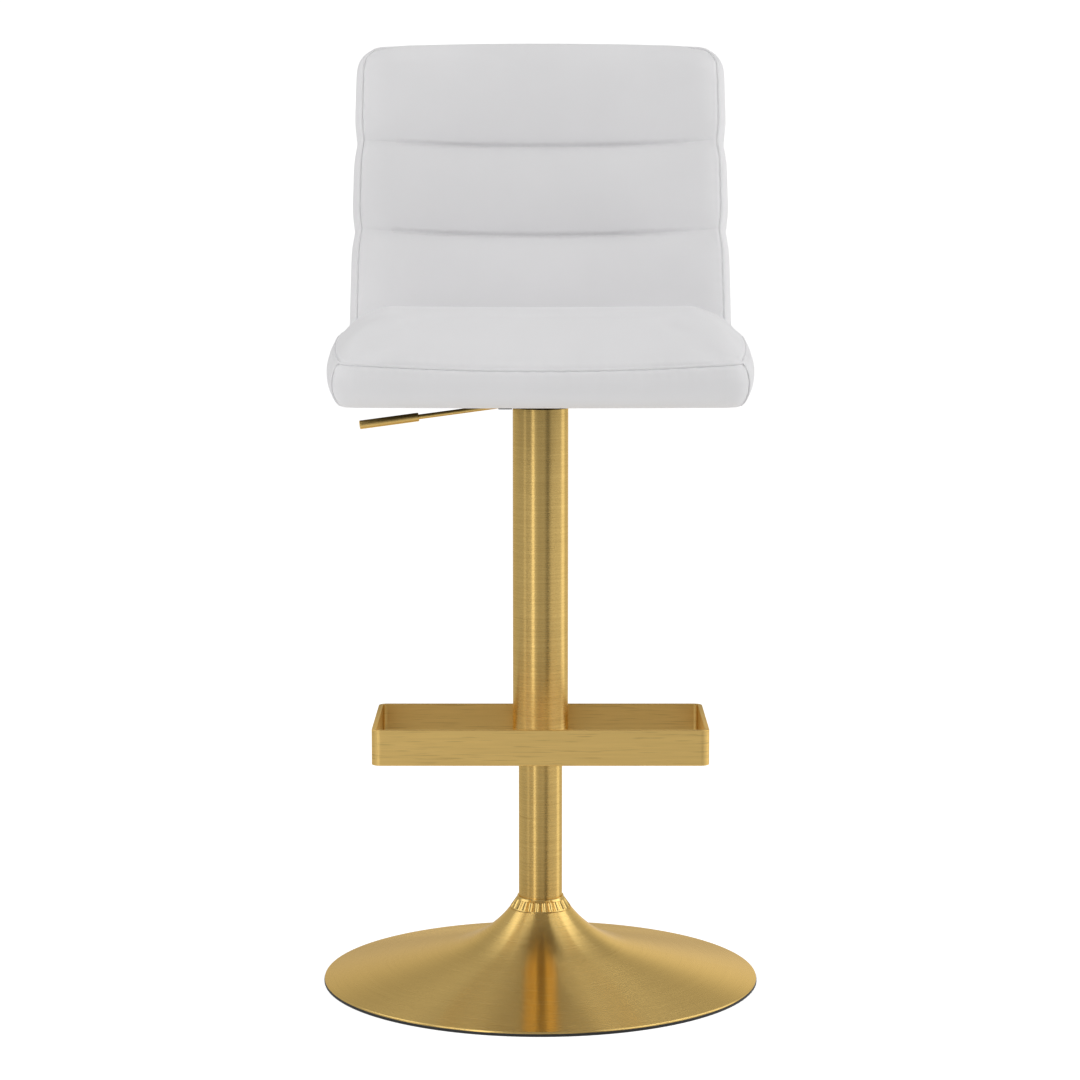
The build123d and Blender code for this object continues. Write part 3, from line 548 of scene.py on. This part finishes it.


def make_materials():
    """One material for each slot, and three for pieces with a finish of their own; the footrest's is a
    lighter copy of the gold with painted light, and painted shade on its rear bar.
    """
    return {
        "gold_metal": brushed_gold("brushed_gold", TUBE_LINES),
        "gold_collar": brushed_gold("brushed_gold_collar", TUBE_LINES, lines=0.1, roughness=(0.13, 0.20),
                                    shade=0.88, stretch=0.0, streaks=0.0),
        # the footrest: shade 1.15 makes a lighter copy of the same gold, painted light that stands in for
        # light the bar reflects; behind adds painted shade on its rear bar
        "gold_bar_painted_light_and_shade": brushed_gold("brushed_gold_bar_painted_light_and_shade", BAR_LINES, lines=0.30,
                                 roughness=(0.40, 0.50), shade=1.15, patches=0.6, stretch=0.2, streaks=0.3,
                                 behind=BAR_REAR_PAINTED_SHADE),
        "gold_disc": brushed_gold("brushed_gold_disc", DISC_LINES, radial=True, lines=0.10,
                                  roughness=(0.23, 0.28), patches=0.3, stretch=1.0, streaks=0.08),
        "rubber": speckled("black_rubber", (0.018, 0.018, 0.018), 0.55),
        "plain_steel": speckled("ground_steel", (0.56, 0.56, 0.57), 0.28, 1.0),
        "zinc_steel": speckled("zinc_plate", (0.62, 0.61, 0.57), 0.35, 1.0),
        "black_steel": speckled("black_powder_coat", (0.02, 0.02, 0.02), 0.45, scale=900.0),
        "cast_iron": speckled("cast_iron", (0.05, 0.05, 0.05), 0.75, depth=0.4 * MM),
        "black_plastic": speckled("black_plastic", (0.025, 0.025, 0.026), 0.5, scale=1200.0),
        "brass": speckled("brass", (0.78, 0.58, 0.25), 0.3, 1.0),
        "plywood": plywood("plywood"),
        "foam": speckled("foam", (0.84, 0.80, 0.66), 0.95, scale=1500.0, depth=0.5 * MM),
        "white_leather": white_leather("white_leather"),
        "dust_cloth": woven("dust_cloth", (0.03, 0.03, 0.03)),
    }


# ---------------------------------------------------------------- padded pieces

def dense_ends(low, high, ends, step):
    """Positions from low to high, with the given small distances in from each end first."""
    near = [low + d for d in ends]
    far = [high - d for d in reversed(ends)]
    start, stop = near[-1], far[0]
    count = max(2, round((stop - start) / step))
    return np.array(near[:-1] + [start + (stop - start) * i / count for i in range(count + 1)] + far[1:])


def arc_cut(v, low, high, radius):
    """How far a rounded corner takes the side in, at position v."""
    t = np.clip(radius - np.minimum(v - low, high - v), 0, radius)
    return radius - np.sqrt(np.maximum(radius ** 2 - t ** 2, 0))


def swell(t, power=2.5):
    """Rise of a padded edge: 0 at the seam, 1 from t = 1 inwards, steep at first."""
    return 1 - (1 - np.clip(t, 0, 1)) ** power


CORNER_ROWS = 6     # rows of a pad that lie within its rounded corner


class Pad:
    """Closed pad: a grid for its face, a band round the edge, and a grid for its rear."""

    def __init__(self, name, u, v, face_point, band, rear_point, out_of_plane):
        self.columns, self.rows = len(u), len(v)
        across, up = np.meshgrid(u, v)
        face = face_point(across.ravel(), up.ravel())
        rear = rear_point(across.ravel(), up.ravel())
        self.loop = self.edge_loop()
        edge = face[self.loop]
        along = np.roll(edge, -1, 0) - np.roll(edge, 1, 0)
        outward = np.cross(along, out_of_plane)
        outward /= np.linalg.norm(outward, axis=1)[:, None]
        rings = [band(edge, rear[self.loop], outward, k) for k in range(len(band.profile))]
        points = np.vstack([face, *rings, rear])
        self.band_start = len(face)
        self.ring_count = len(rings)
        self.rear_start = self.band_start + self.ring_count * len(self.loop)
        faces = []
        for j in range(self.rows - 1):
            for i in range(self.columns - 1):
                a = j * self.columns + i
                quad = (a, a + 1, a + self.columns + 1, a + self.columns)
                faces.append(quad)
                faces.append(tuple(self.rear_start + k for k in reversed(quad)))
        for k in range(self.ring_count + 1):
            here, there = self.ring(k), self.ring(k + 1)
            for i in range(len(self.loop)):
                after = (i + 1) % len(self.loop)
                faces.append((here[i], there[i], there[after], here[after]))
        self.obj = new_object(name, points, faces)

    def edge_loop(self):
        """Vertices round the grid, anticlockwise, from its lower left corner."""
        r, c = self.rows, self.columns
        loop = list(range(c))
        loop += [j * c + c - 1 for j in range(1, r)]
        loop += [(r - 1) * c + i for i in range(c - 2, -1, -1)]
        loop += [j * c for j in range(r - 2, 0, -1)]
        return np.array(loop)

    def corner_index(self, corner):
        """Place in the loop of a rounded corner's middle: front right, rear right, rear left, front left."""
        r, c = self.rows, self.columns
        turn = CORNER_ROWS // 2 + 1
        return (c - 1 + turn, c - 1 + r - 1 - turn, 2 * (c - 1) + r - 1 + turn, -turn)[corner]

    def ring(self, k):
        """One ring of the band: ring 0 edges the face, and the last edges the rear."""
        if k == 0:
            return self.loop
        if k == self.ring_count + 1:
            return self.rear_start + self.loop
        start = self.band_start + (k - 1) * len(self.loop)
        return np.arange(start, start + len(self.loop))


class Band:
    """Cross-section of a pad's side: (outwards, share of the way to the rear) for each ring."""

    def __init__(self, profile, way, flatter_towards=(0, 0, 0)):
        self.profile = profile
        self.way = np.array(way, float)
        self.flatter_towards = np.array(flatter_towards, float)

    def __call__(self, edge, rear, outward, k):
        out, share = self.profile[k]
        to_rear = (rear - edge) @ self.way
        out = out * (1 - 0.8 * np.clip(outward @ self.flatter_towards, 0, 1))
        return edge + outward * out[:, None] + np.outer(to_rear * share, self.way)


CLOTH = {
    "quality": 6, "mass": 0.4, "tension_stiffness": 25, "compression_stiffness": 25, "shear_stiffness": 10,
    "bending_stiffness": 1.5,
}
CLOTH_FRAMES = 20
PADDING_PRESSURE = 5.0


def inflate(obj, pinned, cap):
    """Cloth under pressure, held at its seams. No point moves further than cap."""
    group = obj.vertex_groups.new(name="sewn")
    group.add([int(i) for i in pinned], 1.0, "REPLACE")
    rest = vertices_of(obj)
    modifier = obj.modifiers.new("cloth", "CLOTH")
    settings = modifier.settings
    for key, value in CLOTH.items():
        setattr(settings, key, value)
    settings.use_pressure = True
    settings.uniform_pressure_force = PADDING_PRESSURE
    settings.vertex_group_mass = group.name
    settings.effector_weights.gravity = 0
    scene = bpy.context.scene
    scene.frame_start, scene.frame_end = 1, CLOTH_FRAMES
    modifier.point_cache.frame_start = 1
    modifier.point_cache.frame_end = CLOTH_FRAMES
    for f in range(1, CLOTH_FRAMES + 1):
        scene.frame_set(f)
    graph = bpy.context.evaluated_depsgraph_get()
    step = vertices_of(obj.evaluated_get(graph)) - rest
    length = np.linalg.norm(step, axis=1)
    keep = np.minimum(1, cap / np.maximum(length, 1e-9))
    obj.modifiers.clear()
    obj.vertex_groups.clear()
    set_vertices(obj, rest + step * keep[:, None])
    scene.frame_set(1)


LINE_PARTS = 5      # steps of a seam's line between two vertices of its pad


def smooth_line(points, closed):
    """Catmull-Rom curve through the points."""
    points = np.asarray(points)
    if closed:
        points = np.vstack([points[-1:], points, points[:2]])
    else:
        points = np.vstack([2 * points[0] - points[1], points, 2 * points[-1] - points[-2]])
    line = []
    for a, b, c, d in zip(points, points[1:], points[2:], points[3:]):
        for t in np.arange(LINE_PARTS) / LINE_PARTS:
            line.append(0.5 * (2 * b + (c - a) * t + (2 * a - 5 * b + 4 * c - d) * t ** 2
                               + (3 * b - a - 3 * c + d) * t ** 3))
    if not closed:
        line.append(points[-2])
    return np.array(line)


def normals_of(obj):
    normals = np.empty(len(obj.data.vertices) * 3)
    obj.data.vertices.foreach_get("normal", normals)
    return normals.reshape(-1, 3)


SEAM_REACH = 24 * MM            # nothing further from a seam moves
SEAM_ROLL_AT = 2.2              # distance of the roll from the seam, in widths of the groove
GATHERS = 5                     # waves that are added up along a seam
GATHER_REACH = 9 * MM
GATHER_START = 2 * MM           # they fade out closer to the seam than this


def press_seam(obj, line, depth, width, roll, pucker, seed):
    """Presses a groove along a line, with a soft roll each side and small gathers across it."""
    tree = KDTree(len(line))
    for i, p in enumerate(line):
        tree.insert(Vector(p), i)
    tree.balance()
    points, normals = vertices_of(obj), normals_of(obj)
    length = np.concatenate([[0], np.cumsum(np.linalg.norm(np.diff(line, axis=0), axis=1))])
    rng = np.random.default_rng(seed)
    waves = [(rng.uniform(9, 26) * MM, rng.uniform(0, 6.28), rng.uniform(0.4, 1)) for _ in range(GATHERS)]
    for i, p in enumerate(points):
        _, nearest, gap = tree.find(Vector(p))
        if gap > SEAM_REACH:
            continue
        push = -depth * math.exp(-(gap / width) ** 2)
        push += roll * math.exp(-((gap - SEAM_ROLL_AT * width) / width) ** 2)
        wave = sum(a * math.sin(2 * math.pi * length[nearest] / w + f) for w, f, a in waves) / GATHERS
        push += pucker * wave * math.exp(-gap / GATHER_REACH) * min(1.0, gap / GATHER_START)
        points[i] += normals[i] * push
    set_vertices(obj, points)


def cord_from(name, line, centre, axis, radius, lift, closed):
    """Thin sewn cord along a seam, moved a little away from the pad's middle."""
    axis = np.array(axis, float)
    away = line - centre
    away -= 0.5 * np.outer(away @ axis, axis)
    away /= np.linalg.norm(away, axis=1)[:, None]
    return tube_along(name, line + away * lift, radius, closed)


# ---- seat

# Plan of the seam round the seat's top. The side bulges out below it.
SEAT_FRONT, SEAT_REAR = -203 * MM, 137 * MM
SEAT_BOTTOM, SEAT_TOP = 613 * MM, 691 * MM
SEAT_FRONT_HALF = 193 * MM
SEAT_MID_HALF = 208.5 * MM
SEAT_MID = -20 * MM
SEAT_REAR_HALF = 213 * MM
SEAT_BOW = 6 * MM               # of the front edge, back towards its corners
SEAT_CORNER = 15 * MM
SEAT_WELT = 653.5 * MM          # height of the seam at the front corners
SEAT_WELT_SAG = 5.5 * MM        # at the middle of the front
SEAT_WELT_RISE = 9.5 * MM       # at the rear
SEAT_HEM = 2 * MM               # of the turned-under edge, below SEAT_BOTTOM
SEAT_HEM_WIDTH = 9 * MM
SEAT_HEM_INSET = 5 * MM
SEAT_UNDER_LIFT = 0.3 * MM      # of the underside inside the hem, which the dust cover hides
SEAT_ROUNDING = 60 * MM         # width of the crown's rounded edge at the front
SEAT_REAR_ROUNDING = 27 * MM
SEAT_SIDE_ROUNDING = 36 * MM
SEAT_DIP = 3 * MM               # where one sits
SEAT_STEP = 8 * MM
SEAT_PUFF_LIMIT = 6 * MM
SEAM_ENDS = (0, 1.2 * MM, 3 * MM, 6.5 * MM, 12 * MM)    # closer rows next to a seam
# Cross-section of the side, as in Band
SEAT_BAND = (
    (1.2 * MM, 0.025), (2.8 * MM, 0.07), (5.0 * MM, 0.15), (7.2 * MM, 0.28), (8.2 * MM, 0.43),
    (7.8 * MM, 0.59), (6.2 * MM, 0.74), (3.2 * MM, 0.87), (-0.5 * MM, 0.96),
)


def seat_half(y):
    """Half the seat's width at y: a parabola through its three stated widths."""
    first = (SEAT_MID_HALF - SEAT_FRONT_HALF) / (SEAT_MID - SEAT_FRONT)
    second = (SEAT_REAR_HALF - SEAT_MID_HALF) / (SEAT_REAR - SEAT_MID)
    bend = (second - first) / (SEAT_REAR - SEAT_FRONT)
    return SEAT_FRONT_HALF + first * (y - SEAT_FRONT) + bend * (y - SEAT_FRONT) * (y - SEAT_MID)


def seat_plan(u, v, inset):
    """x and y of a point of the seat, from u across, -1 to 1, and v, its y without the inset and bow."""
    half = seat_half(v) - arc_cut(v, SEAT_FRONT, SEAT_REAR, SEAT_CORNER)
    middle = (SEAT_FRONT + SEAT_REAR) / 2
    y = middle + (v - middle) * (1 - 2 * inset / (SEAT_REAR - SEAT_FRONT))
    bow = SEAT_BOW * u ** 2 * np.clip((SEAT_MID - v) / (SEAT_MID - SEAT_FRONT), 0, 1)
    return u * (half - inset), y + bow


def make_seat():
    v = dense_ends(SEAT_FRONT, SEAT_REAR, SEAM_ENDS + (SEAT_CORNER,), SEAT_STEP)
    u = dense_ends(-1.0, 1.0, tuple(d / SEAT_MID_HALF for d in SEAM_ENDS), SEAT_STEP / SEAT_MID_HALF)

    def face_point(u, v):
        x, y = seat_plan(u, v, 0)
        from_side = (1 - np.abs(u)) * SEAT_MID_HALF / SEAT_SIDE_ROUNDING
        from_front = (v - SEAT_FRONT) / SEAT_ROUNDING
        from_rear = (SEAT_REAR - v) / SEAT_REAR_ROUNDING
        rise = swell(from_side) * swell(from_front, 2.2) * swell(from_rear, 2.2)
        t = (v - SEAT_FRONT) / (SEAT_REAR - SEAT_FRONT)
        sag = SEAT_WELT_SAG * (1 - u ** 2) * np.clip(1 - 3 * t, 0, 1)
        edge = SEAT_WELT + SEAT_WELT_RISE * t ** 0.7 - sag
        dip = SEAT_DIP * np.exp(-((u * 1.5) ** 2 + ((t - 0.5) * 2.6) ** 2))
        return np.stack([x, y, edge + (SEAT_TOP - edge) * rise - dip * rise], axis=1)

    def rear_point(u, v):
        x, y = seat_plan(u, v, SEAT_HEM_INSET)
        inside = np.minimum((1 - np.abs(u)) * SEAT_MID_HALF, np.minimum(v - SEAT_FRONT, SEAT_REAR - v))
        hem = 1 - swell(inside / SEAT_HEM_WIDTH, 1.5)
        return np.stack([x, y, SEAT_BOTTOM + SEAT_UNDER_LIFT - (SEAT_HEM + SEAT_UNDER_LIFT) * hem], axis=1)

    pad = Pad("seat_cushion", u, v, face_point, Band(SEAT_BAND, (0, 0, -1)), rear_point, (0, 0, 1))
    rear = pad.rear_start + np.arange(pad.rows * pad.columns)
    inflate(pad.obj, np.concatenate([pad.loop, rear]), SEAT_PUFF_LIMIT)
    subdivide(pad.obj, 2)
    points = vertices_of(pad.obj)
    welt = smooth_line(points[pad.loop], True)
    corners = [pad.corner_index(i) for i in range(4)]
    uprights = [smooth_line([points[pad.ring(k)[c]] for k in range(pad.ring_count + 1)], False)
                for c in corners]
    press_seam(pad.obj, welt, depth=0.9 * MM, width=2.8 * MM, roll=0.5 * MM, pucker=0.9 * MM, seed=3)
    for i, line in enumerate(uprights):
        press_seam(pad.obj, line, depth=0.7 * MM, width=2.2 * MM, roll=0.3 * MM, pucker=0.4 * MM,
                   seed=11 + i)
    centre = np.array((0, (SEAT_FRONT + SEAT_REAR) / 2, SEAT_WELT))
    cords = [cord_from("seat_welt", welt, centre, (0, 0, 1), 1.5 * MM, 0.0, True)]
    for i, line in enumerate(uprights):
        name = f"seat_corner_seam_{i + 1}"
        cords.append(cord_from(name, line, centre, (0, 0, 1), 0.8 * MM, 0.2 * MM, False))
    return pad.obj, cords


# ---- back

BACK_TILT = math.radians(4.0)
BACK_ORIGIN = np.array((0, 141 * MM, 616 * MM))
BACK_UP = np.array((0, math.sin(BACK_TILT), math.cos(BACK_TILT)))
BACK_IN = np.array((0, math.cos(BACK_TILT), -math.sin(BACK_TILT)))
BACK_HEIGHT = 354 * MM
BACK_DEPTH = 58 * MM
BACK_BOTTOM_HALF = 207 * MM
BACK_TOP_HALF = 196.5 * MM
BACK_CORNER = 20 * MM
BACK_WELT_INSET = 8.2 * MM
BACK_WELT_DEPTH = 8 * MM
BACK_WELT_TOP_INSET = 0.5 * MM  # along the top, where the front rolls over the edge
BACK_WELT_TOP_DEPTH = 21 * MM
BACK_ARCH = 3 * MM              # of the top edge, at its middle
BACK_ROLL = 6 * MM              # height of the front's roll over the seam, before it falls off
BACK_CREASES = (156.5 * MM, 253 * MM)
BACK_CREASE_SAG = 7 * MM        # at its middle
BACK_SAG_REACH = 70 * MM        # from the crease, up and down
BACK_CREASE_DEPTH = 11 * MM
BACK_CREASE_WIDTH = 5 * MM
BACK_CREASE_FADE = 132 * MM     # from each end
BACK_CREASE_ROWS = np.array((-5, -2.2, -0.8, 0, 0.8, 2.2, 5)) * MM      # closer rows next to a crease
BACK_CREASE_CLEAR = 7 * MM      # the even rows keep this far off
BACK_CREASE_MARGIN = 8          # columns at each end that its fold leaves out
BACK_PINCH = 2.4 * MM           # of the sides, where a crease meets them
BACK_PINCH_REACH = 13 * MM
BACK_FACE_DEPTH = 3 * MM        # of the front, before it puffs out
BACK_PUFF = 4.5 * MM
BACK_SIDE_ROUNDING = 30 * MM
BACK_END_ROUNDING = 26 * MM
BACK_TOP_TURN = 30 * MM         # height over which the seam goes back to BACK_WELT_TOP_DEPTH
BACK_ROLL_START = 1.5 * MM      # below the top, where the roll rises
BACK_ROLL_END = 7 * MM          # and where it dies away
BACK_REAR_INSET = 7 * MM
BACK_REAR_SET = 4 * MM          # the rear seam, in front of BACK_DEPTH
BACK_REAR_BOW = 3 * MM          # the rear panel, behind its seam
BACK_REAR_ROUNDING = 40 * MM
BACK_STEP = 7.5 * MM
BACK_PUFF_LIMIT = 5 * MM
# Cross-section of the side, as in Band
BACK_BAND = (
    (0.6 * MM, 0.03), (1.6 * MM, 0.07), (4.0 * MM, 0.15), (6.6 * MM, 0.27), (8.0 * MM, 0.42),
    (8.2 * MM, 0.60), (7.2 * MM, 0.77), (4.6 * MM, 0.90), (2.2 * MM, 0.96),
)


def on_back(x, v, depth):
    """Points at x, v up the back, and depth behind its foremost plane."""
    return np.outer(x, (1, 0, 0)) + np.outer(v, BACK_UP) + np.outer(depth, BACK_IN) + BACK_ORIGIN


def back_plan(u, v, inset):
    """x and height of a point of the back, from u across, -1 to 1, and v up."""
    half = BACK_BOTTOM_HALF + (BACK_TOP_HALF - BACK_BOTTOM_HALF) * v / BACK_HEIGHT
    half = half - arc_cut(v, 0, BACK_HEIGHT, BACK_CORNER)
    high = BACK_HEIGHT - min(inset, BACK_WELT_TOP_INSET)
    arch = BACK_ARCH * (1 - u ** 2) * (v / BACK_HEIGHT) ** 6
    return u * (half - inset), inset + v / BACK_HEIGHT * (high - inset) + arch


def crease_gap(v):
    """Distance from the nearest sewn line, before it sags."""
    return np.min([np.abs(v - c) for c in BACK_CREASES], axis=0)


def make_back():
    v = dense_ends(0, BACK_HEIGHT, SEAM_ENDS + (BACK_CORNER,), BACK_STEP)
    for crease in BACK_CREASES:
        even_rows = v[np.abs(v - crease) > BACK_CREASE_CLEAR]
        v = np.sort(np.concatenate([even_rows, crease + BACK_CREASE_ROWS]))
    u = dense_ends(-1.0, 1.0, tuple(d / BACK_BOTTOM_HALF for d in SEAM_ENDS), BACK_STEP / BACK_BOTTOM_HALF)
    ends = np.array((0, *BACK_CREASES, BACK_HEIGHT))

    def face_point(u, v):
        x, flat_v = back_plan(u, v, BACK_WELT_INSET)
        gap = crease_gap(v)
        pinch = BACK_PINCH * np.exp(-(gap / BACK_PINCH_REACH) ** 2)
        x = x - np.sign(u) * np.abs(u) ** 10 * pinch
        sag = BACK_CREASE_SAG * (1 - u ** 2) * np.clip(1 - gap / BACK_SAG_REACH, 0, 1)
        channel = np.clip(np.searchsorted(ends, v, side="right") - 1, 0, 2)
        t = (v - ends[channel]) / (ends[channel + 1] - ends[channel])
        arch = np.clip(1 - (2 * t - 1) ** 2, 0, 1) ** 0.5
        inwards = (1 - np.abs(u)) * BACK_BOTTOM_HALF
        from_side = swell(inwards / BACK_SIDE_ROUNDING)
        from_end = swell(np.minimum(v, BACK_HEIGHT - v) / BACK_END_ROUNDING)
        over = np.clip((v - BACK_HEIGHT) / BACK_TOP_TURN + 1, 0, 1)
        edge = BACK_WELT_DEPTH + (BACK_WELT_TOP_DEPTH - BACK_WELT_DEPTH) * over ** 2 * (3 - 2 * over)
        front = (edge - BACK_FACE_DEPTH + BACK_PUFF * arch) * from_side * from_end
        fold = swell(inwards / BACK_CREASE_FADE, 1.8)
        crease = BACK_CREASE_DEPTH * np.exp(-gap / BACK_CREASE_WIDTH) * fold ** 1.4
        below = BACK_HEIGHT - v
        roll = (1 - np.exp(-below / BACK_ROLL_START)) * np.exp(-below / BACK_ROLL_END)
        roll = BACK_ROLL * roll * np.clip((0.94 - np.abs(u)) / 0.12, 0, 1)
        return on_back(x, flat_v - sag + roll, edge - front + crease * from_side)

    def rear_point(u, v):
        x, flat_v = back_plan(u, v, BACK_REAR_INSET)
        from_side = swell((1 - np.abs(u)) * BACK_BOTTOM_HALF / BACK_REAR_ROUNDING)
        from_end = swell(np.minimum(v, BACK_HEIGHT - v) / BACK_REAR_ROUNDING)
        return on_back(x, flat_v, BACK_DEPTH - BACK_REAR_SET + BACK_REAR_BOW * from_side * from_end)

    pad = Pad("back_cushion", u, v, face_point, Band(BACK_BAND, BACK_IN, BACK_UP), rear_point, -BACK_IN)
    rear = pad.rear_start + np.arange(pad.rows * pad.columns)
    crease_rows = [int(np.argmin(np.abs(v - c))) for c in BACK_CREASES]
    creases = [np.arange(r * pad.columns, (r + 1) * pad.columns) for r in crease_rows]
    inflate(pad.obj, np.concatenate([pad.loop, rear, *creases]), BACK_PUFF_LIMIT)
    subdivide(pad.obj, 2)
    points = vertices_of(pad.obj)
    welt = smooth_line(points[pad.loop], True)
    rear_seam = smooth_line(points[pad.ring(pad.ring_count + 1)], True)
    folds = [smooth_line(points[row[BACK_CREASE_MARGIN:-BACK_CREASE_MARGIN]], False) for row in creases]
    press_seam(pad.obj, welt, depth=0.9 * MM, width=2.4 * MM, roll=0.4 * MM, pucker=0.8 * MM, seed=21)
    press_seam(pad.obj, rear_seam, depth=1.2 * MM, width=2.0 * MM, roll=0.5 * MM, pucker=0.5 * MM, seed=22)
    for i, line in enumerate(folds):
        press_seam(pad.obj, line, depth=1.4 * MM, width=2.8 * MM, roll=0.0, pucker=0.5 * MM, seed=31 + i)
    centre = BACK_ORIGIN + BACK_UP * BACK_HEIGHT / 2 + BACK_IN * BACK_DEPTH / 2
    cords = [
        cord_from("back_welt", welt, centre, BACK_IN, 1.3 * MM, 0.0, True),
        cord_from("back_rear_seam", rear_seam, centre, BACK_IN, 1.0 * MM, 0.1 * MM, True),
    ]
    return pad.obj, cords


# ---------------------------------------------------------------- the stool

# Pieces whose finish isn't their slot's; the footrest's also carries painted light and painted shade
OWN_FINISH = {"base_shell": "gold_disc", "footrest_loop": "gold_bar_painted_light_and_shade", "column_collar": "gold_collar"}


def make_stool():
    materials = make_materials()
    slots = {s["node"]: s["material_slot"] for s in frame["record"]["subparts"]}
    for name, obj in NODES.items():
        obj.data.materials.clear()
        obj.data.materials.append(materials[OWN_FINISH.get(name, slots[name])])

    seat, seat_cords = make_seat()
    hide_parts("seat_cover", "seat_foam")
    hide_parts("seat_piping")
    back, back_cords = make_back()
    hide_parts("back_cover", "back_foam", "back_rear_panel")
    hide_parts("back_piping")
    for piece in (seat, back, *seat_cords, *back_cords):
        piece.data.materials.append(materials["white_leather"])
        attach(piece, "seat")


make_camera()
make_lights()
make_world()
make_stage()
make_stool()

bpy.context.scene.view_settings.view_transform = "Standard"
bpy.context.scene.view_settings.look = "None"
